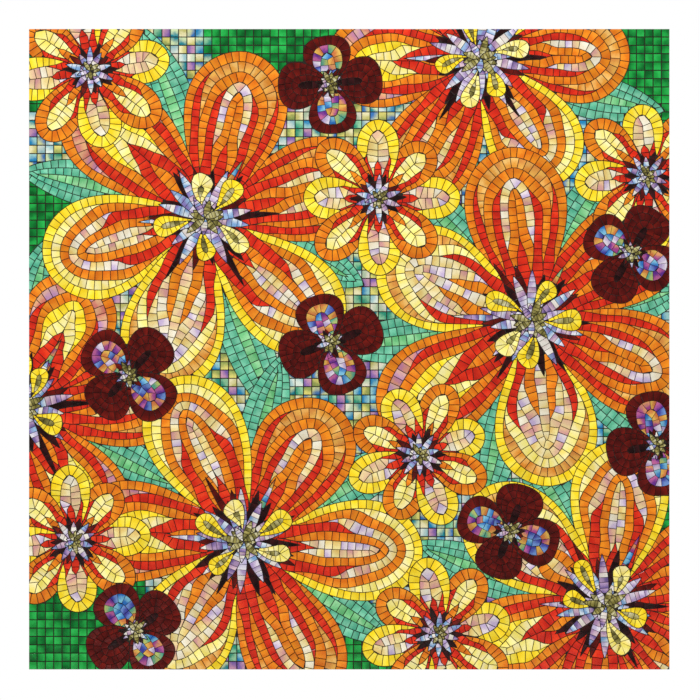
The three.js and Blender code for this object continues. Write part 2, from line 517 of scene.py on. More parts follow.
@dataclass(frozen=True)
class Row:
    """Row of tesserae that follows a blade's outline.

    It starts and ends at shares of the way to the tip, and an end over 1 carries it round the tip.
    """

    glass: Glass
    start: float = 0.0
    end: float = 2.0
    weight: float = 1.0
    taper: float = 0.22

    @property
    def rounds_tip(self) -> bool:
        """Whether the row runs round the tip to the other side."""
        return self.end > 1

    def widths(self, way: np.ndarray) -> np.ndarray:
        """Width of the row along the way, against the other rows, with pointed ends."""
        width = np.full_like(way, self.weight)
        if self.start > 0:
            width *= self._ramp((way - self.start) / self.taper)
        if not self.rounds_tip:
            width *= self._ramp((self.end - way) / self.taper)
        return width

    def moved(self, start: float, end: float) -> "Row":
        """The row with its pointed ends moved a little."""
        start = self.start + start if self.start else 0.0
        end = self.end if self.rounds_tip else self.end + end
        return replace(self, start=start, end=end)

    @staticmethod
    def _ramp(share: np.ndarray) -> np.ndarray:
        """Smooth step from 0 to 1."""
        share = np.clip(share, 0, 1)
        return share * share * (3 - 2 * share)


def read_line(line: np.ndarray, place: np.ndarray) -> np.ndarray:
    """Points of a line at places counted in its own points."""
    return np.stack([np.interp(place, np.arange(len(line)), line[:, i]) for i in (0, 1)], 1)


@dataclass
class TesseraCutter:
    """Cuts the rows of a blade into tesserae of about one length."""

    length: float
    rng: np.random.Generator
    row_shift: float = 0.04
    length_shift: float = 0.1
    narrowest: float = 1.3 * MM
    straightest: float = 0.55 * MM
    slim_length: float = 0.6

    def cut(self, blade: Blade, rows: Sequence[Row]) -> list[Tessera]:
        """Fill a blade with rows.

        Args:
            blade: the petal, leaf or shard.
            rows: its rows from the axis outwards; the first one straddles the axis.

        Returns:
            Footprints that meet in the middle of the joints.
        """
        contours = Contours(blade)
        way = contours.way
        edges = {side: self._edges(rows, way) for side in (-1, 1)}
        ahead = np.ones_like(way)
        sides = [contours.points(edges[side][1], way, side * ahead) for side in (-1, 1)]
        tesserae = self._cut_strip(*sides, rows[0].glass)
        for number, row in enumerate(rows[1:], 1):
            lines = []
            for edge in (number, number + 1):
                right, left = (contours.points(edges[s][edge], way, s * ahead) for s in (-1, 1))
                lines.append((right, left[::-1]))
            if row.rounds_tip:
                inner, outer = (np.concatenate([right, left[1:]]) for right, left in lines)
                tesserae += self._cut_strip(inner, outer, row.glass)
            else:
                for inner, outer in zip(*lines):
                    tesserae += self._cut_strip(inner, outer, row.glass)
        return tesserae

    def _edges(self, rows: Sequence[Row], way: np.ndarray) -> np.ndarray:
        """Edges of the rows on one side, as shares of the half width at each share of the way."""
        moved = [row.moved(*self.rng.uniform(-self.row_shift, self.row_shift, 2)) for row in rows]
        widths = np.cumsum([row.widths(way) for row in moved], axis=0)
        return np.concatenate([np.zeros((1, len(way))), widths / np.maximum(widths[-1], 1e-6)])

    def _cut_strip(self, inner: np.ndarray, outer: np.ndarray, glass: Glass) -> list[Tessera]:
        """Cut the strip between two lines into tesserae, which are longer where the strip is slim."""
        width = np.hypot(*(inner - outer).T)
        wide = np.flatnonzero(width > self.narrowest)
        if len(wide) < 3:
            return []
        inner, outer, width = (line[wide[0] : wide[-1] + 1] for line in (inner, outer, width))
        step = np.hypot(*np.diff((inner + outer) / 2, axis=0).T)
        slim = 1 - np.clip((width[1:] + width[:-1]) / 2 / self.length, 0, 1)
        count = np.concatenate([[0], np.cumsum(step / (self.length * (1 + self.slim_length * slim)))])
        pieces = max(1, round(count[-1]))
        marks = np.linspace(0, count[-1], pieces + 1)
        marks[1:-1] += self.rng.uniform(-self.length_shift, self.length_shift, pieces - 1)
        at = np.interp(marks, count, np.arange(len(count)))
        middle = (inner + outer) / 2
        near, far = (self._sides(line, self._cut_square(line, middle, at)) for line in (inner, outer))
        return [Tessera(np.array([a[0], *b, *a[:0:-1]]), glass) for a, b in zip(near, far)]

    @staticmethod
    def _cut_square(line: np.ndarray, middle: np.ndarray, at: np.ndarray) -> np.ndarray:
        """Find where cuts that stand square to a strip's middle line meet one of its edges.

        Args:
            line: points of the edge.
            middle: points of the middle line.
            at: places of the cuts, counted in points of the middle line.

        Returns:
            The place of each cut, counted in points of the edge.
        """
        ahead = read_line(np.gradient(middle, axis=0), at)[:, None]
        past = ((line - read_line(middle, at)[:, None]) * ahead).sum(2)
        passed = (past[:, :-1] <= 0) & (past[:, 1:] > 0)
        met = np.arange(len(line) - 1) + past[:, :-1] / np.where(passed, past[:, :-1] - past[:, 1:], 1)
        gap = np.where(passed, np.abs(met - at[:, None]), np.inf)
        nearest = gap.argmin(1)[:, None]
        found = np.where(np.isinf(gap.min(1)), at, np.take_along_axis(met, nearest, 1)[:, 0])
        found[[0, -1]] = at[[0, -1]]
        return np.clip(np.maximum.accumulate(found), 0, at[-1])

    def _sides(self, line: np.ndarray, cuts: np.ndarray) -> list[list[np.ndarray]]:
        """Sides of the tesserae along one edge of a strip.

        Args:
            line: points of the edge.
            cuts: places of the cuts.

        Returns:
            For each tessera its two corners, with a third between them where the edge bends sharply.
        """
        ends = read_line(line, cuts)
        shares = np.linspace(0.1, 0.9, 9)
        between = cuts[:-1, None] + np.diff(cuts)[:, None] * shares
        points = read_line(line, between.ravel()).reshape(len(between), len(shares), 2)
        chord = np.diff(ends, axis=0)
        off = points - ends[:-1, None]
        size = np.maximum(np.hypot(*chord.T), TINY)[:, None]
        bulge = np.abs(off[..., 0] * chord[:, None, 1] - off[..., 1] * chord[:, None, 0]) / size
        bulge = np.where(size < self.straightest, np.hypot(off[..., 0], off[..., 1]), bulge)
        sides = []
        for i, most in enumerate(bulge.argmax(1)):
            third = [points[i, most]] if bulge[i, most] > self.straightest else []
            sides.append([ends[i], *third, ends[i + 1]])
        return sides


@dataclass
class Face:
    """Face of the panel, filled from the top layer down: what is laid later is cut by what lies above."""

    side: float
    joint: float
    half_joint: float = 0.55
    trim: float = 0.4
    weld: float = 1e-4

    def __post_init__(self) -> None:
        """Start with nothing laid, and four strips round the panel that trim it square."""
        self.outlines: list[np.ndarray] = []
        self.lows = self.highs = np.empty((0, 2))
        half, far = self.side / 2, self.side / 2 + self.trim
        for low, high in (((-far, half), (far, far)), ((-far, -far), (far, -half))):
            strip = np.array([low, (high[0], low[1]), high, (low[0], high[1])])
            self._add(strip)
            self._add(strip[:, ::-1])

    def lay(self, tesserae: Iterable[Tessera], joint: float | None = None) -> list[Tessera]:
        """Lay tesserae under what is already there.

        Args:
            tesserae: footprints that meet in the middle of the joints.
            joint: width of the joints between them, where it isn't the panel's.

        Returns:
            The footprints that show, cut to the outlines above them.
        """
        half = (self.joint if joint is None else joint) / 2
        cut = [t for t in (cut_back(t, half) for t in tesserae) if t]
        middles = np.array([t.points.mean(0) for t in cut])
        reach = np.array([np.hypot(*(t.points - m).T).max() for t, m in zip(cut, middles)])
        low, high = middles - reach[:, None], middles + reach[:, None]
        hidden = np.zeros(len(cut), bool)
        across: list[list[np.ndarray]] = [[] for _ in cut]
        touched = (self.lows < high.max(0)).all(1) & (self.highs > low.min(0)).all(1)
        for outline in (self.outlines[i] for i in np.flatnonzero(touched)):
            near = (high > outline.min(0)) & (low < outline.max(0)) & ~hidden[:, None]
            close = np.flatnonzero(near.all(1))
            if not len(close):
                continue
            depth = depth_inside(middles[close], outline)
            hidden[close] |= depth > reach[close]
            for i in close[np.abs(depth) <= reach[close]]:
                across[i].append(outline)
        shown = []
        for i in np.flatnonzero(~hidden):
            shown += self._clip(cut[i], across[i]) if across[i] else [cut[i]]
        return shown

    def cover(self, outlines: Iterable[np.ndarray]) -> None:
        """Keep what is laid from now on out of some outlines and the joint round them."""
        for outline in outlines:
            self._add(shift_edges(outline, self.half_joint * self.joint))

    def _add(self, outline: np.ndarray) -> None:
        """Keep an outline, counter-clockwise."""
        self.outlines.append(outline if signed_area(outline) > 0 else outline[::-1])
        self.lows = np.vstack([self.lows, outline.min(0)])
        self.highs = np.vstack([self.highs, outline.max(0)])

    def _clip(self, tessera: Tessera, covers: Sequence[np.ndarray]) -> list[Tessera]:
        """Take outlines out of a footprint.

        Args:
            tessera: the footprint.
            covers: the outlines to take out.

        Returns:
            What is left, which may be several parts or none.
        """
        low, high = tessera.points.min(0) - MM, tessera.points.max(0) + MM
        middle = (low + high) / 2
        near = [cut_to_box(cover, low, high) for cover in covers]
        rings = [tessera.points] + [ring for ring in near if len(ring) > 2]
        ends = np.cumsum([0] + [len(ring) for ring in rings])
        corners = [Vector(point) for point in ((np.concatenate(rings) - middle) / MM).tolist()]
        faces = [list(range(a, b)) for a, b in zip(ends[:-1], ends[1:])]
        found, _, triangles, _, _, sources = delaunay_2d_cdt(corners, [], faces, 1, self.weld, True)
        places = np.array(found) * MM
        loops = outline_loops([triangle for triangle, of in zip(triangles, sources) if of == [0]])
        parts = [places[loop] for loop in loops]
        limit = (high - low) / 2 - 0.9 * MM
        sound = [p for p in parts if signed_area(p) > SMALLEST_TESSERA and (np.abs(p) < limit).all()]
        return [replace(tessera, points=part + middle) for part in sound]


def outline_loops(faces: Iterable[Sequence[int]]) -> list[list[int]]:
    """Find the outlines of the areas that faces fill together.

    Args:
        faces: corners of the faces by number, counter-clockwise.

    Returns:
        Corners of each outline, split where an outline meets itself.
    """
    edges = {(a, b) for face in faces for a, b in zip(face, (*face[1:], face[0]))}
    border: dict[int, list[int]] = {}
    for a, b in sorted(edges):
        if (b, a) not in edges:
            border.setdefault(a, []).append(b)
    loops, path, at = [], [], 0
    while border:
        if not path:
            at = next(iter(border))
        path.append(at)
        ahead = border[at]
        last, at = at, ahead.pop()
        if not ahead:
            del border[last]
        if at in path:
            place = path.index(at)
            loops.append(path[place:])
            del path[place:]
    return loops


def add_object(name: str, data: bpy.types.ID) -> bpy.types.Object:
    """Add an object to the scene."""
    thing = bpy.data.objects.new(name, data)
    bpy.context.scene.collection.objects.link(thing)
    return thing


class ShapeTree:
    """Tree of geometry nodes with named inputs, which makes plain meshes."""

    def __init__(self, name: str, inputs: dict[str, str]) -> None:
        """Start the tree.

        Args:
            name: name of the tree.
            inputs: kinds of its inputs by name.
        """
        self.tree = bpy.data.node_groups.new(name, "GeometryNodeTree")
        self.bench = NodeBench(self.tree)
        add = self.tree.interface.new_socket
        self.sockets = {
            name: add(name, in_out="INPUT", socket_type=f"NodeSocket{kind}").identifier
            for name, kind in {"Geometry": "Geometry", **inputs}.items()
        }
        add("Geometry", in_out="OUTPUT", socket_type="NodeSocketGeometry")
        self.given = self.bench.node("NodeGroupInput")

    def input(self, name: str) -> Signal:
        """One of the tree's named inputs."""
        return Signal(self.bench, self.given.outputs[name])

    def finish(self, mesh: Signal, finish: str) -> None:
        """End the tree in real geometry with the material of a named input."""
        real = self.bench.out("GeometryNodeRealizeInstances", None, {"Geometry": mesh})
        inputs = {"Geometry": real, "Material": self.input(finish)}
        dressed = self.bench.out("GeometryNodeSetMaterial", None, inputs)
        self.bench.node("NodeGroupOutput", None, {"Geometry": dressed})

    def extrude(self, mesh: Signal, depth: Value, **inputs: Value) -> tuple[Signal, Signal]:
        """Raise faces towards the front.

        Args:
            mesh: the mesh.
            depth: how far they rise.
            inputs: other inputs of the node, such as Selection.

        Returns:
            The new mesh and the selection of its raised faces.
        """
        given = {"Mesh": mesh, "Offset": (0, -1, 0), "Offset Scale": depth, **inputs}
        node = self.bench.node("GeometryNodeExtrudeMesh", {"mode": "FACES"}, given)
        return Signal(self.bench, node.outputs["Mesh"]), Signal(self.bench, node.outputs["Top"])

    def run(self, name: str, source: bpy.types.Mesh, values: dict[str, object]) -> bpy.types.Object:
        """Run the tree on a mesh.

        Args:
            name: name of the new object.
            source: the mesh that the tree is given.
            values: what its inputs are set to.

        Returns:
            An object with the plain result.
        """
        given = add_object(f"{name}_source", source)
        modifier = given.modifiers.new(self.tree.name, "NODES")
        modifier.node_group = self.tree
        for socket, value in values.items():
            modifier[self.sockets[socket]] = value
        graph = bpy.context.evaluated_depsgraph_get()
        mesh = bpy.data.meshes.new_from_object(given.evaluated_get(graph), depsgraph=graph)
        mesh.name = name
        bpy.data.objects.remove(given)
        return add_object(name, mesh)


class TesseraNodes(ShapeTree):
    """Raises flat footprints into glass with eased arrises, set a little unevenly."""

    def __init__(self) -> None:
        """Build the tree once, for all the fields."""
        sizes = dict.fromkeys(("Thickness", "Arris", "Rise", "Tilt", "Face"), "Float")
        super().__init__("Tesserae", {**sizes, "Seed": "Int", "Glass": "Material"})
        self.finish(self._seat(self._raise(self._mark())), "Glass")

    def _store(self, mesh: Signal, name: str, value: Signal) -> Signal:
        """Store a vector on every footprint, for the later nodes and the glass's material."""
        settings = {"data_type": "FLOAT_VECTOR", "domain": "FACE"}
        inputs = {"Geometry": mesh, "Name": name, "Value": value}
        return self.bench.out("GeometryNodeStoreNamedAttribute", settings, inputs)

    def _read(self, name: str) -> Signal:
        """Read a stored vector."""
        settings = {"data_type": "FLOAT_VECTOR"}
        return self.bench.out("GeometryNodeInputNamedAttribute", settings, {"Name": name})

    def _mark(self) -> Signal:
        """Store each footprint's middle and the random way it is set."""
        inputs = {"Min": (-1, -1, -1), "Max": (1, 1, 1), "Seed": self.input("Seed")}
        chance = self.bench.out("FunctionNodeRandomValue", {"data_type": "FLOAT_VECTOR"}, inputs, "Value")
        middle = self.bench.out("GeometryNodeInputPosition")
        return self._store(self._store(self.input("Geometry"), "middle", middle), "setting", chance)

    def _raise(self, mesh: Signal) -> Signal:
        """Raise the footprints, ease their front arrises and close their backs."""
        bench, arris = self.bench, self.input("Arris")
        rise = bench.axis(self._read("setting"), "Y") * self.input("Rise")
        body, top = self.extrude(mesh, self.input("Thickness") - arris + rise, Individual=True)
        eased, top = self.extrude(body, arris, Selection=top, Individual=True)
        inputs = {"Geometry": eased, "Selection": top, "Offset": self._read("inset")}
        front = bench.out("GeometryNodeSetPosition", None, inputs)
        back = bench.out("GeometryNodeFlipFaces", None, {"Mesh": mesh})
        return bench.close(back, front, gap=1e-6)

    def _seat(self, mesh: Signal) -> Signal:
        """Tilt each tessera's front about its middle, no farther out than the panel's face."""
        bench = self.bench
        place = bench.out("GeometryNodeInputPosition")
        from_middle = bench.vector("SUBTRACT", place, self._read("middle"))
        lean = bench.vector("MULTIPLY", self._read("setting"), (1, 0, 1))
        x, y, z = (bench.axis(place, name) for name in "XYZ")
        height = bench.math("MINIMUM", (BED_FACE - y) / self.input("Thickness"), 1)
        tilted = y + bench.vector("DOT_PRODUCT", from_middle, lean, "Value") * self.input("Tilt") * height
        kept = bench.math("MAXIMUM", tilted, self.input("Face"))
        spot = bench.out("ShaderNodeCombineXYZ", None, {"X": x, "Y": kept, "Z": z})
        return bench.out("GeometryNodeSetPosition", None, {"Geometry": mesh, "Position": spot})


@dataclass
class TesseraSetter:
    """Makes one piece of closed tesserae from footprints."""

    nodes: TesseraNodes
    rng: np.random.Generator
    thickness: float = 3.75 * MM
    arris: float = 0.45 * MM
    rise: float = 0.14 * MM
    tilt: float = 0.028
    light: tuple[float, float] = (0.84, 1.12)
    least_pearl: float = 0.7
    made: int = 0

    def piece(self, name: str, tesserae: Sequence[Tessera], glass: bpy.types.Material) -> bpy.types.Object:
        """Set a field of tesserae.

        Args:
            name: name of the piece.
            tesserae: its footprints, already cut to size.
            glass: its material.

        Returns:
            An object with a plain closed mesh for each tessera.
        """
        self.made += 1
        values = {
            "Thickness": self.thickness,
            "Arris": self.arris,
            "Rise": self.rise,
            "Tilt": self.tilt,
            "Face": GLASS_FACE,
            "Seed": SEED + self.made,
            "Glass": glass,
        }
        piece = self.nodes.run(name, self._footprints(name, tesserae), values)
        map_from_front(piece.data)
        return piece

    def _footprints(self, name: str, tesserae: Sequence[Tessera]) -> bpy.types.Mesh:
        """Flat mesh of the footprints on the bed, with their colours stored on the faces."""
        ends = np.cumsum([0] + [len(t.points) for t in tesserae])
        corners = [(x, BED_FACE, z) for t in tesserae for x, z in t.points]
        mesh = bpy.data.meshes.new(f"{name}_footprints")
        mesh.from_pydata(corners, [], [list(range(a, b)) for a, b in zip(ends[:-1], ends[1:])])
        pairs, leans, pearls = [], [], []
        for tessera in tesserae:
            melt = tessera.glass.value
            pairs.append([linear(code) for code in melt.pairs[self.rng.integers(len(melt.pairs))]])
            size = math.sqrt(signed_area(tessera.points))
            angle = self.rng.uniform(0, 2 * math.pi)
            leans.append((math.cos(angle) / size, 0, math.sin(angle) / size))
            pearls.append(melt.pearl * self.rng.uniform(self.least_pearl, 1))
        light = self.rng.uniform(*self.light, (len(tesserae), 1))
        # second colour of each tessera: a streak of its own colour on plain glass, painted iridescent sheen
        # on pearly glass
        for place, attribute in enumerate(("tint", "far_tint_and_sheen")):
            colours = np.array(pairs)[:, place]
            colours[:, :3] *= light
            store(mesh, attribute, "FLOAT_COLOR", "color", colours)
        moves = np.concatenate([inset(t.points, self.arris) for t in tesserae])
        store(mesh, "inset", "FLOAT_VECTOR", "vector", moves, "POINT")
        store(mesh, "lean", "FLOAT_VECTOR", "vector", leans)
        store(mesh, "pearl", "FLOAT", "value", pearls)
        return mesh


def store(
    mesh: bpy.types.Mesh, name: str, kind: str, key: str, values: Sequence, domain: str = "FACE"
) -> None:
    """Store one value for each face or point of a mesh."""
    mesh.attributes.new(name, kind, domain).data.foreach_set(key, np.ravel(values))


def read_all(items: bpy.types.bpy_prop_collection, key: str, kind: type, width: int = 1) -> np.ndarray:
    """Read one property of every vertex, corner or face of a mesh, a row for each."""
    values = np.empty(len(items) * width, kind)
    items.foreach_get(key, values)
    return values.reshape(-1, width)


def map_from_front(mesh: bpy.types.Mesh, fold: float = 0.3 * MM) -> None:
    """Give tesserae a map as seen from the front, named OFBake.

    Args:
        mesh: the tesserae.
        fold: how far into the joint a side's back edge is folded out, so that the side has a width.
    """
    normals = np.repeat(
        read_all(mesh.polygons, "normal", np.float32, 3),
        read_all(mesh.polygons, "loop_total", np.int32)[:, 0],
        axis=0,
    )
    corners = read_all(mesh.loops, "vertex_index", np.int32)[:, 0]
    places = read_all(mesh.vertices, "co", np.float32, 3)[corners]
    depth = (places[:, 1] - GLASS_FACE) / (BED_FACE - GLASS_FACE)
    sides = np.abs(normals[:, 1]) < UPRIGHT
    flat = places[:, ::2] + normals[:, ::2] * (fold * depth * sides)[:, None]
    flat = (flat - flat.min(0)) / np.ptp(flat, axis=0)
    mesh.uv_layers.new(name="OFBake").data.foreach_set("uv", flat.astype(np.float32).ravel())


def enlist(piece: bpy.types.Object, nodes: Sequence[str]) -> None:
    """Make a piece ride on the panel and stand for its solids, whose own meshes are hidden."""
    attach(piece, "root")
    if nodes:
        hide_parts(*nodes)
    solids = ", ".join(nodes) or "no solid"
    logging.info("%s: %d faces, for %s", piece.name, len(piece.data.polygons), solids)


@dataclass(frozen=True)
class GlassFinish:
    """Opaque glass whose colour runs from one tint to another across each tessera: the glass's own streaks,
    with painted iridescent sheen on pearly glass.
    """

    name: str
    roughness: float = 0.24
    mottle: float = 0.10
    ripple: float = 0.35
    cloud_size: float = 5 * MM
    cloud_share: float = 0.9
    gloss_clouds: float = 0.12
    pearl_gloss: float = 0.06
    pearl_metal: float = 0.22

    def material(self) -> bpy.types.Material:
        """Material that reads each tessera's colours from its faces."""
        material, bench, surface = new_material(self.name)
        place = bench.out("ShaderNodeTexCoord", None, None, "Object")
        pearl = self._read(bench, "pearl", "Fac")
        clouds = bench.noise(1 / self.cloud_size, 3.0, place)
        grains = bench.noise(3 / self.cloud_size, 4.0, place)
        from_middle = bench.vector("SUBTRACT", place, self._read(bench, "middle", "Vector"))
        across = bench.vector("DOT_PRODUCT", from_middle, self._read(bench, "lean", "Vector"), "Value")
        # run from tint to far tint: the glass's own streaks on plain glass, painted iridescent sheen on
        # pearly glass
        run = bench.smooth(across + 0.5 + (clouds - 0.5) * self.cloud_share)
        colour = bench.mix(run, self._read(bench, "tint", "Color"), self._read(bench, "far_tint_and_sheen", "Color"))
        light = 1 + (grains - 0.5) * (2 * self.mottle)
        colour = bench.out("ShaderNodeVectorMath", {"operation": "SCALE"}, {0: colour, "Scale": light})
        looks = {
            "Base Color": colour,
            "Roughness": self.roughness + (clouds - 0.5) * self.gloss_clouds - pearl * self.pearl_gloss,
            "Metallic": pearl * self.pearl_metal,
            "Normal": bench.bump(self.ripple, 0.4 * MM, clouds + grains * 0.25),
            "IOR": 1.5,
        }
        bench.feed(surface, looks)
        return material

    @staticmethod
    def _read(bench: NodeBench, name: str, output: str) -> Signal:
        """Read what is stored on the faces."""
        return bench.out("ShaderNodeAttribute", {"attribute_name": name}, None, output)


def new_material(name: str) -> tuple[bpy.types.Material, NodeBench, bpy.types.Node]:
    """Start a material.

    Args:
        name: name of the finish.

    Returns:
        The material, a bench for its tree and its Principled BSDF.
    """
    material = bpy.data.materials.new(name)
    material.use_nodes = True
    tree = material.node_tree
    return material, NodeBench(tree), tree.nodes["Principled BSDF"]


@dataclass(frozen=True)
class MortarFinish:
    """Dark warm mortar with fine sand in it."""

    name: str = "mortar"
    dark: int = 0x150F0B
    light: int = 0x2C231B
    grain: float = 0.5 * MM

    def material(self) -> bpy.types.Material:
        """Material with sand grains and soft stains."""
        material, bench, surface = new_material(self.name)
        place = bench.out("ShaderNodeTexCoord", None, None, "Object")
        sand = bench.noise(1 / self.grain, 3.0, place)
        stain = bench.noise(14.0, 4.0, place)
        looks = {
            "Base Color": bench.mix(sand * 0.6 + stain * 0.4, linear(self.dark), linear(self.light)),
            "Roughness": 0.95,
            "Normal": bench.bump(0.5, 0.15 * MM, sand),
        }
        bench.feed(surface, looks)
        return material


@dataclass(frozen=True)
class CementBoardFinish:
    """Grey cement board with a glass scrim pressed into its faces."""

    name: str = "cement board"
    dark: int = 0x9C9A92
    light: int = 0xC2C0B8
    strand: int = 0xD6D4CC
    strand_pitch: float = 4 * MM
    strand_width: float = 0.3

    def material(self) -> bpy.types.Material:
        """Material with the scrim's squares, cement fines and faint stains."""
        material, bench, surface = new_material(self.name)
        place = bench.out("ShaderNodeTexCoord", None, None, "Object")
        fines = bench.noise(900.0, 4.0, place)
        stains = bench.noise(9.0, 5.0, place)
        scrim = bench.math("MAXIMUM", *(self._strands(bench, place, axis) for axis in "XZ"))
        cement = bench.mix(fines * 0.5 + stains * 0.5, linear(self.dark), linear(self.light))
        looks = {
            "Base Color": bench.mix(scrim * 0.35, cement, linear(self.strand)),
            "Roughness": 0.92,
            "Normal": bench.bump(0.6, 0.25 * MM, scrim * 0.7 + fines * 0.3),
        }
        bench.feed(surface, looks)
        return material

    def _strands(self, bench: NodeBench, place: Signal, axis: str) -> Signal:
        """Height of the strands that repeat along one axis."""
        along = bench.axis(place, axis) / self.strand_pitch
        from_strand = bench.math("ABSOLUTE", bench.math("FRACT", along) - 0.5)
        return bench.smooth(from_strand, self.strand_width / 2, 0.0)


BLOOM_FORM = Form(1.1, 0.55)
VIOLA_FORM = Form(0.8, 0.42)
LEAF_FORM = Form(0.95, 0.85)
SHARD_FORM = Form(0.8, 0.9)
CLUB_FORM = Form(1.5, 0.45)


class PetalPattern(Enum):
    """Rows of a petal, from its axis outwards."""

    SUN = (
        Row(Glass.RED, 0, 0.58, 0.55),
        Row(Glass.CREAM, 0.40),
        Row(Glass.ORANGE, 0.22),
        Row(Glass.RED, 0, 0.78),
        Row(Glass.CREAM, 0.50),
        Row(Glass.ORANGE, 0.28),
        Row(Glass.LEMON, 0.52),
        Row(Glass.YELLOW, 0.16),
    )
    FLAME = (
        Row(Glass.RED, 0, 0.70, 0.6),
        Row(Glass.ORANGE, 0.30),
        Row(Glass.CREAM, 0.50),
        Row(Glass.RED, 0, 0.90),
        Row(Glass.ORANGE, 0.30),
        Row(Glass.AMBER, 0.55),
        Row(Glass.RED, 0, 0.80),
        Row(Glass.ORANGE, 0.24),
    )
    BLAZE = (
        Row(Glass.ORANGE, 0, 0.62, 0.6),
        Row(Glass.RED, 0, 0.84),
        Row(Glass.LEMON, 0.46),
        Row(Glass.YELLOW, 0.50),
        Row(Glass.ORANGE, 0.24),
        Row(Glass.RED, 0, 0.80),
        Row(Glass.ROSE, 0.50),
        Row(Glass.ORANGE, 0.22),
    )
    GLOW = (
        Row(Glass.CREAM, 0.26, 2, 0.6),
        Row(Glass.ORANGE, 0.08, 0.84),
        Row(Glass.CREAM, 0.36),
        Row(Glass.CREAM, 0.44),
        Row(Glass.RED, 0, 0.74),
        Row(Glass.LEMON, 0.42),
        Row(Glass.AMBER, 0.48),
        Row(Glass.YELLOW, 0.16),
    )
    DAISY_LEMON = (
        Row(Glass.RED, 0, 0.66, 0.6),
        Row(Glass.CREAM, 0.34),
        Row(Glass.RED, 0, 0.58),
        Row(Glass.YELLOW, 0.22),
    )
    DAISY_PEACH = (
        Row(Glass.ORANGE, 0, 0.70, 0.55),
        Row(Glass.LEMON, 0.36),
        Row(Glass.RED, 0, 0.74),
        Row(Glass.ORANGE, 0.22),
    )
    VIOLA_DARK = (
        Row(Glass.BLACK, 0.05, 2, 0.45),
        Row(Glass.WINE, 0.12, 2, 0.8),
        Row(Glass.WINE, 0, 2, 0.8),
        Row(Glass.WINE, 0, 2, 0.8),
    )
    VIOLA_JEWEL = (
        Row(Glass.WINE, 0.0, 0.6, 0.30),
        Row(Glass.JEWEL, 0.12, 2, 0.7),
        Row(Glass.JEWEL, 0.20, 2, 0.8),
        Row(Glass.WINE, 0, 2, 0.9),
    )
    LEAF = (
        Row(Glass.LIME, 0, 2, 0.6),
        Row(Glass.AQUA),
        Row(Glass.AQUA),
    )
    SPIKE = (Row(Glass.BLACK),)
    DARK_SHARD = (Row(Glass.WINE),)
    PEARL_SHARD = (Row(Glass.PEARL),)
    OLIVE_SHARD = (Row(Glass.OLIVE),)
    JEWEL_SHARD = (Row(Glass.JEWEL),)
    CLUB = (Row(Glass.OLIVE, 0.30, 2, 0.40), Row(Glass.YELLOW))
    PALE_CLUB = (Row(Glass.OLIVE, 0.40, 0.95, 0.40), Row(Glass.LEMON))


DARK_KINDS = (PetalPattern.SPIKE, PetalPattern.DARK_SHARD, PetalPattern.SPIKE)
PEARL_KINDS = (PetalPattern.PEARL_SHARD,)
OLIVE_KINDS = (PetalPattern.OLIVE_SHARD, PetalPattern.OLIVE_SHARD, PetalPattern.PEARL_SHARD)
RAY_KINDS = (PetalPattern.JEWEL_SHARD, PetalPattern.PEARL_SHARD, PetalPattern.SPIKE)


@dataclass
class Workshop:
    """What all the fields share: the panel's face, the setter and a source of chance."""

    face: Face
    setter: TesseraSetter
    rng: np.random.Generator

    def fill(
        self, blade: Blade, pattern: PetalPattern, length: float, joint: float | None = None
    ) -> list[Tessera]:
        """Fill a blade's place on the face, and keep what is laid later out of it.

        Args:
            blade: the petal, leaf or shard.
            pattern: its rows.
            length: length of its tesserae.
            joint: width of its joints, where it isn't the panel's.

        Returns:
            The footprints that show.
        """
        shown = self.face.lay(TesseraCutter(length, self.rng).cut(blade, pattern.value), joint)
        self.face.cover([blade.outline()])
        return shown

    def set_piece(
        self, name: str, tesserae: list[Tessera], glass: bpy.types.Material, nodes: Sequence[str] = ()
    ) -> None:
        """Set tesserae as one piece.

        Args:
            name: name of the piece, less its ending.
            tesserae: its footprints.
            glass: its material.
            nodes: the solids that it stands for, where that isn't the one of its name.
        """
        piece = self.setter.piece(f"{name}_tesserae", tesserae, glass)
        enlist(piece, nodes or [name])


@dataclass(frozen=True)
class Star:
    """Ring of shards round a flower's middle, every other one of which lies under its neighbours.

    The lengths, the kinds and the lengths of the tesserae are given first for the shards that lie under.
    """

    count: int
    lengths: tuple[float, float]
    half: float
    kinds: tuple[tuple[PetalPattern, ...], tuple[PetalPattern, ...]]
    pieces: tuple[float, float]
    unevenness: float = 0.09

    def shard(self, x: float, z: float, k: int, beat: int) -> Blade:
        """Shard number k, with its own length and aim.

        Args:
            x: middle of the star.
            z: middle of the star.
            k: number of the shard.
            beat: number of the flower, which makes each star different.

        Returns:
            The shard.
        """
        length = self.lengths[k % 2] * (1 + self.unevenness * math.sin(1.3 * k + beat))
        aim = 360 * k / self.count + 4 * math.sin(2.1 * k + beat)
        return Blade(x, z, aim, length, self.half, SHARD_FORM)


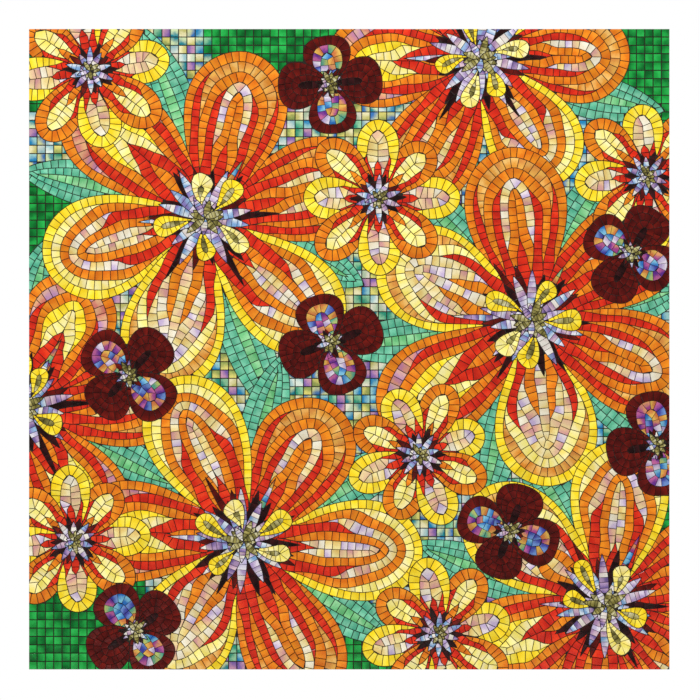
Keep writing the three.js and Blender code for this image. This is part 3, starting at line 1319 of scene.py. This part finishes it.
@dataclass(frozen=True)
class Flower:
    """Flower whose petals lie over each other in turn."""

    number: int
    x: float
    z: float
    reach: float
    half: float
    turn: float
    bend: float = 0.0
    patterns: tuple[PetalPattern, ...] = ()
    petals: int = 0
    form: Form = BLOOM_FORM
    piece: float = 11.5 * MM
    joint: float = 1.08 * JOINT
    star_joint: float = 0.7 * JOINT
    stars: tuple[Star, ...] = ()
    reach_swing: float = 0.05
    bend_swing: float = 4.0

    def blades(self) -> list[Blade]:
        """Petals, whose lengths and bends vary a little in a fixed rhythm."""
        return [
            Blade(
                self.x,
                self.z,
                self.turn + 360 * k / self.petals,
                self.reach * (0.98 + self.reach_swing * math.sin(2.4 * k + 1.7 * self.number)),
                self.half,
                self.form,
                self.bend + self.bend_swing * math.cos(1.9 * k + self.number),
            )
            for k in range(self.petals)
        ]

    def lay_petals(self, shop: Workshop) -> list[Tessera]:
        """Footprints of the petals, the last of which lies on top."""
        laid = []
        for k, blade in reversed(list(enumerate(self.blades()))):
            laid += shop.fill(blade, self.patterns[k % len(self.patterns)], self.piece, self.joint)
        return laid

    def lay_star(self, shop: Workshop, star: Star) -> list[Tessera]:
        """Footprints of a star of shards round the flower's middle.

        Args:
            shop: the shared face, setter and chance.
            star: sizes and glass of the shards.

        Returns:
            The footprints that show.
        """
        laid = []
        for kind in (1, 0):
            for k in range(kind, star.count, 2):
                pattern = star.kinds[kind][k // 2 % len(star.kinds[kind])]
                shard = star.shard(self.x, self.z, k, self.number)
                laid += shop.fill(shard, pattern, star.pieces[kind], self.star_joint)
        return laid


@dataclass(frozen=True)
class StarFlower(Flower):
    """Flower set in one piece, with stars of shards round its middle."""

    kind: str = ""

    def build(self, shop: Workshop, glass: bpy.types.Material) -> None:
        """Lay and set the flower."""
        stars = [tessera for star in self.stars for tessera in self.lay_star(shop, star)]
        shop.set_piece(f"{self.kind}_{self.number}", stars + self.lay_petals(shop), glass)


@dataclass(frozen=True)
class SmallFlower(StarFlower):
    """Dark flower of four round petals."""

    patterns: tuple[PetalPattern, ...] = (PetalPattern.VIOLA_DARK, PetalPattern.VIOLA_JEWEL)
    petals: int = 4
    form: Form = VIOLA_FORM
    piece: float = 9.5 * MM
    joint: float = 0.7 * MM
    stars: tuple[Star, ...] = (
        Star(9, (15 * MM, 19 * MM), 3.8 * MM, (OLIVE_KINDS, OLIVE_KINDS), (5 * MM, 5 * MM), 0.2),
        Star(12, (22 * MM, 20 * MM), 3.2 * MM, (DARK_KINDS, PEARL_KINDS), (11 * MM, 6 * MM), 0.2),
    )
    kind: str = "small_flower"


@dataclass(frozen=True)
class MiddleFlower(StarFlower):
    """Light flower of eight petals."""

    patterns: tuple[PetalPattern, ...] = (PetalPattern.DAISY_LEMON, PetalPattern.DAISY_PEACH)
    petals: int = 8
    piece: float = 10 * MM
    stars: tuple[Star, ...] = (
        Star(9, (14 * MM, 18 * MM), 3.4 * MM, (OLIVE_KINDS, OLIVE_KINDS), (5 * MM, 5 * MM), 0.2),
        Star(20, (40 * MM, 35 * MM), 4.8 * MM, (DARK_KINDS, PEARL_KINDS), (12 * MM, 7 * MM), 0.12),
    )
    kind: str = "middle_flower"


@dataclass(frozen=True)
class LargeFlower(Flower):
    """Large flower of six petals round a starry heart, with yellow clubs on top of its outer stars."""

    petals: int = 6
    stars: tuple[Star, ...] = (
        Star(15, (24 * MM, 31 * MM), 5.2 * MM, (OLIVE_KINDS, OLIVE_KINDS), (6 * MM, 5 * MM), 0.22),
        Star(28, (80 * MM, 75 * MM), 7.4 * MM, (DARK_KINDS, PEARL_KINDS), (13 * MM, 8 * MM), 0.12),
        Star(6, (102 * MM, 110 * MM), 5.0 * MM, (DARK_KINDS, RAY_KINDS), (14 * MM, 10 * MM), 0.14),
    )
    clubs: int = 5
    club_length: float = 60 * MM
    club_half: float = 15.5 * MM
    club_start: float = 15 * MM
    club_piece: float = 7.5 * MM
    club_joint: float = 0.8 * JOINT

    def build(
        self, shop: Workshop, heart_glass: bpy.types.Material, petal_glass: bpy.types.Material
    ) -> None:
        """Lay and set the heart and the petals, each in one piece."""
        name = f"large_flower_{self.number}"
        heart = self.lay_star(shop, self.stars[0])
        for k in range(self.clubs):
            heart += shop.fill(self._club(k), self._club_pattern(k), self.club_piece, self.club_joint)
        for star in self.stars[1:]:
            heart += self.lay_star(shop, star)
        shop.set_piece(f"{name}_heart", heart, heart_glass)
        shop.set_piece(f"{name}_petal", self.lay_petals(shop), petal_glass, [f"{name}_petals"])

    def _club(self, k: int) -> Blade:
        """One of the yellow clubs, each of its own length and bend."""
        beat = 2.7 * k + 1.9 * self.number
        aim = self.turn + 360 * k / self.clubs + 30 + 10 * math.sin(beat)
        length = self.club_length * (1 + 0.14 * math.cos(1.3 * beat))
        half = self.club_half * (1 + 0.12 * math.sin(2.1 * beat))
        bend = 55 * math.sin(0.7 * beat)
        return Blade(self.x, self.z, aim, length, half, CLUB_FORM, bend, self.club_start)

    def _club_pattern(self, k: int) -> PetalPattern:
        """Rows of one of the clubs."""
        return PetalPattern.PALE_CLUB if (k + self.number) % 3 == 0 else PetalPattern.CLUB


@dataclass(frozen=True)
class Leaf:
    """Leaf that grows from behind a large flower."""

    number: int
    flower: int
    aim: float
    length: float
    bend: float
    half: float = 36 * MM
    start: float = 50 * MM

    def build(self, shop: Workshop, glass: bpy.types.Material) -> None:
        """Lay and set the leaf in one piece."""
        root = LARGE_FLOWERS[self.flower]
        blade = Blade(root.x, root.z, self.aim, self.length, self.half, LEAF_FORM, self.bend, self.start)
        shop.set_piece(f"leaf_{self.number}", shop.fill(blade, PetalPattern.LEAF, TESSERA), glass)


SUN, FLAME, BLAZE, GLOW = PetalPattern.SUN, PetalPattern.FLAME, PetalPattern.BLAZE, PetalPattern.GLOW
LARGE_FLOWERS = (
    LargeFlower(1, -0.510, -0.090, 0.245, 0.074, 0, 10, (FLAME, BLAZE)),
    LargeFlower(2, -0.225, 0.205, 0.280, 0.080, 12, 10, (FLAME, FLAME, BLAZE, SUN, GLOW, SUN)),
    LargeFlower(3, 0.205, 0.455, 0.250, 0.074, 5, -8, (FLAME, SUN, FLAME, BLAZE, FLAME, SUN)),
    LargeFlower(4, 0.285, 0.045, 0.275, 0.080, 40, -10, (FLAME, FLAME, GLOW, BLAZE, GLOW, FLAME)),
    LargeFlower(5, -0.165, -0.300, 0.275, 0.079, -8, 10, (SUN, FLAME, SUN, BLAZE, GLOW, FLAME)),
    LargeFlower(6, 0.400, -0.400, 0.265, 0.077, 20, 8, (FLAME, SUN, GLOW, BLAZE, FLAME, FLAME)),
)
MIDDLE_FLOWERS = (
    MiddleFlower(1, 0.045, 0.235, 0.125, 0.033, 0),
    MiddleFlower(2, -0.405, 0.435, 0.130, 0.034, 10),
    MiddleFlower(3, 0.110, -0.165, 0.115, 0.031, 22),
    MiddleFlower(4, 0.465, 0.270, 0.120, 0.032, 5),
    MiddleFlower(5, -0.430, -0.300, 0.118, 0.031, 5),
    MiddleFlower(6, 0.140, -0.445, 0.120, 0.032, 12),
)
SMALL_FLOWERS = (
    SmallFlower(1, -0.030, 0.010, 0.082, 0.038, 20),
    SmallFlower(2, 0.440, 0.150, 0.080, 0.037, 60),
    SmallFlower(3, 0.480, -0.150, 0.082, 0.038, 10),
    SmallFlower(4, -0.345, -0.040, 0.082, 0.038, 48),
    SmallFlower(5, -0.030, 0.415, 0.080, 0.037, 5),
    SmallFlower(6, -0.335, -0.440, 0.080, 0.037, 35),
    SmallFlower(7, 0.250, -0.285, 0.080, 0.037, 70),
)
LEAVES = tuple(
    Leaf(number, flower, aim, length * MM, bend)
    for number, (flower, aim, length, bend) in enumerate(
        (
            (0, 88, 220, -14),
            (0, -32, 240, 10),
            (1, 102, 270, 14),
            (1, 160, 250, 12),
            (1, 285, 300, 12),
            (1, 342, 220, -10),
            (2, 337, 250, 14),
            (3, 8, 200, 8),
            (3, 68, 250, -12),
            (3, 128, 260, 10),
            (3, 192, 270, -10),
            (3, 250, 270, 12),
            (3, 312, 260, 10),
            (4, -38, 240, 10),
            (4, 24, 260, 12),
            (4, 84, 250, -12),
            (5, 112, 240, 12),
            (5, 168, 270, -12),
        ),
        1,
    )
)


@dataclass(frozen=True)
class Ground:
    """Straight grid of square tesserae, emerald in some places and opal in the others."""

    emerald_places: tuple[tuple[float, float, float], ...] = (
        (0.50, 0.50, 0.18),
        (-0.50, 0.50, 0.14),
        (-0.50, -0.50, 0.21),
        (0.02, -0.50, 0.07),
        (0.52, -0.26, 0.11),
        (0.50, 0.40, 0.10),
        (-0.12, 0.50, 0.11),
        (-0.50, 0.17, 0.09),
    )
    chipping: float = 0.5 * MM
    raggedness: float = 12 * MM

    def build(self, shop: Workshop, glass: bpy.types.Material) -> None:
        """Lay and set all the ground in one piece, which stands for all its solids."""
        pitch = TESSERA + JOINT
        count = round((PANEL + JOINT) / pitch)
        squares = []
        for i in range(count):
            for j in range(count):
                x, z = (-PANEL / 2 + n * pitch for n in (i, j))
                corners = [(x, z), (x + TESSERA, z), (x + TESSERA, z + TESSERA), (x, z + TESSERA)]
                squares.append(Tessera(np.array(corners), self._glass(shop, x, z)))
        nodes = sorted(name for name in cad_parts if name.startswith("ground"))
        shop.set_piece("ground", shop.face.lay(squares, self.chipping), glass, nodes)

    def _glass(self, shop: Workshop, x: float, z: float) -> Glass:
        """Glass at a point, with a ragged line between emerald and opal."""
        ragged = shop.rng.uniform(-self.raggedness, self.raggedness)
        green = any(math.hypot(x - a, z - b) < reach + ragged for a, b, reach in self.emerald_places)
        return Glass.EMERALD if green else Glass.OPAL


class MortarNodes(ShapeTree):
    """Raises a grid into a closed slab with an uneven front."""

    def __init__(self, cells: int) -> None:
        """Build the tree for a grid of so many cells a side."""
        sizes = dict.fromkeys(("Side", "Back", "Depth", "Unevenness", "Wave"), "Float")
        super().__init__("Mortar bed", {**sizes, "Mortar": "Material"})
        bench, side = self.bench, self.input("Side")
        grid = {"Size X": side, "Size Y": side, "Vertices X": cells + 1, "Vertices Y": cells + 1}
        upright = {
            "Geometry": bench.out("GeometryNodeMeshGrid", None, grid, "Mesh"),
            "Translation": bench.out("ShaderNodeCombineXYZ", None, {"Y": self.input("Back")}),
            "Rotation": (math.pi / 2, 0, 0),
        }
        back = bench.out("GeometryNodeTransform", None, upright)
        slab, top = self.extrude(back, self.input("Depth"), Individual=False)
        height = (bench.noise(1 / self.input("Wave"), 3.0) - 0.5) * self.input("Unevenness") * 2
        offset = bench.out("ShaderNodeCombineXYZ", None, {"Y": height})
        inputs = {"Geometry": slab, "Selection": top, "Offset": offset}
        front = bench.out("GeometryNodeSetPosition", None, inputs)
        back = bench.out("GeometryNodeFlipFaces", None, {"Mesh": back})
        self.finish(bench.close(back, front, gap=1e-5), "Mortar")


@dataclass(frozen=True)
class MortarBed:
    """Mortar under the glass and in its joints."""

    cells: int = 110
    unevenness: float = 0.22 * MM
    wave: float = 30 * MM

    def build(self, finish: bpy.types.Material) -> None:
        """Make the bed, whose front lies a little below the glass, and let it stand for its solid."""
        values = {
            "Side": PANEL,
            "Back": BOARD_FRONT,
            "Depth": BOARD_FRONT - GLASS_FACE - MORTAR_BELOW_GLASS,
            "Unevenness": self.unevenness,
            "Wave": self.wave,
            "Mortar": finish,
        }
        source = bpy.data.meshes.new("mortar_source")
        bed = MortarNodes(self.cells).run("mortar_in_joints", source, values)
        enlist(bed, ["mortar_bed"])


@dataclass(frozen=True)
class BackingBoard:
    """Cement board with saw-cut edges that are eased by hand."""

    ease: float = 0.9 * MM

    def build(self, finish: bpy.types.Material) -> None:
        """Make the board in its solid's box and let it stand for it."""
        low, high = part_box("backing_board")
        form = bmesh.new()
        bmesh.ops.create_cube(form, size=1.0)
        for corner in form.verts:
            corner.co = (low + high) / 2 + corner.co * (high - low)
        bmesh.ops.bevel(form, geom=form.edges[:], offset=self.ease, segments=3, profile=0.5, affect="EDGES")
        mesh = bpy.data.meshes.new("cement_board")
        form.to_mesh(mesh)
        form.free()
        mesh.materials.append(finish)
        enlist(add_object("cement_board", mesh), ["backing_board"])


@dataclass(frozen=True)
class Studio:
    """Pale studio: the photograph's camera, soft light from above, and a floor well below the panel."""

    frame_side: float = 700.0
    panel_left: float = 29.0
    panel_right: float = 669.5
    distance: float = 5.0
    floor_drop: float = 0.5
    floor_radius: float = 3.4
    fill: float = 0.55
    reflected: float = 0.07

    def build(self) -> None:
        """Make the camera, the lights, the world and the floor."""
        self._camera()
        self._lights()
        self._world()
        self._floor()
        bpy.context.scene.view_settings.view_transform = "Standard"

    def _camera(self) -> None:
        """Camera that looks straight at the face and frames it as the photograph does."""
        data = bpy.data.cameras.new("camera")
        wide = PANEL * self.frame_side / (self.panel_right - self.panel_left)
        data.lens = data.sensor_width * self.distance / wide
        off_middle = (self.frame_side - self.panel_left - self.panel_right) / 2 * wide / self.frame_side
        camera = add_object("camera", data)
        camera.location = (off_middle, GLASS_FACE - self.distance, -off_middle)
        camera.rotation_euler = (math.pi / 2, 0, 0)
        bpy.context.scene.camera = camera

    def _lights(self) -> None:
        """Large soft light above the face and a weaker one at the back."""
        self._area("key", (-0.5, -2.4, 2.6), (2.6, 1.4), 95.0)
        self._area("back", (0.8, 2.6, 2.0), (2.0, 1.2), 45.0)

    @staticmethod
    def _area(
        name: str, place: tuple[float, float, float], size: tuple[float, float], power: float
    ) -> None:
        """Add a rectangular light that points at the panel."""
        data = bpy.data.lights.new(name, "AREA")
        data.shape = "RECTANGLE"
        data.size, data.size_y = size
        data.energy = power
        light = add_object(name, data)
        light.location = place
        light.rotation_euler = (-Vector(place)).to_track_quat("-Z", "Y").to_euler()

    def _world(self) -> None:
        """White surroundings that light the panel less than they show."""
        world = bpy.data.worlds.new("studio")
        world.use_nodes = True
        bpy.context.scene.world = world
        bench = NodeBench(world.node_tree)
        world.node_tree.nodes.clear()
        path = bench.node("ShaderNodeLightPath")
        seen, diffuse = (Signal(bench, path.outputs[name]) for name in ("Is Camera Ray", "Is Diffuse Ray"))
        strength = seen + diffuse * self.fill + (1 - seen) * (1 - diffuse) * self.reflected
        sky = bench.out("ShaderNodeBackground", None, {"Color": (1, 1, 1, 1), "Strength": strength})
        bench.node("ShaderNodeOutputWorld", None, {"Surface": sky})

    def _floor(self) -> None:
        """Round pale floor."""
        form = bmesh.new()
        bmesh.ops.create_circle(form, cap_ends=True, segments=96, radius=self.floor_radius)
        mesh = bpy.data.meshes.new("floor")
        form.to_mesh(mesh)
        form.free()
        material, bench, surface = new_material("pale floor")
        cloud = bench.noise(3.0, 2.0, bench.out("ShaderNodeTexCoord", None, None, "Object"))
        colour = bench.mix(cloud, linear(0xE9E8E5), linear(0xF2F1EF))
        bench.feed(surface, {"Base Color": colour, "Roughness": 0.8})
        mesh.materials.append(material)
        floor = add_object("floor", mesh)
        floor.location.z = CAD_BOX[0].z - self.floor_drop


def main() -> None:
    """Build the panel from its top layer down, then what carries it and the studio."""
    logging.basicConfig(level=logging.INFO, format="%(message)s")
    rng = np.random.default_rng(SEED)
    shop = Workshop(Face(PANEL, 1.2 * JOINT), TesseraSetter(TesseraNodes(), rng), rng)
    dark = GlassFinish("dark flower glass", roughness=0.16, mottle=0.25, ripple=0.45).material()
    for flower in reversed(SMALL_FLOWERS):
        flower.build(shop, dark)
    light = GlassFinish("middle flower glass").material()
    for flower in reversed(MIDDLE_FLOWERS):
        flower.build(shop, light)
    hearts = GlassFinish("heart glass", roughness=0.18, mottle=0.2).material()
    petals = GlassFinish("petal glass").material()
    for flower in reversed(LARGE_FLOWERS):
        flower.build(shop, hearts, petals)
    green = GlassFinish("leaf glass", roughness=0.22, mottle=0.12).material()
    for leaf in reversed(LEAVES):
        leaf.build(shop, green)
    Ground().build(shop, GlassFinish("ground glass", roughness=0.18, mottle=0.16).material())
    MortarBed().build(MortarFinish().material())
    BackingBoard().build(CementBoardFinish().material())
    Studio().build()


if __name__ == "__main__":
    main()
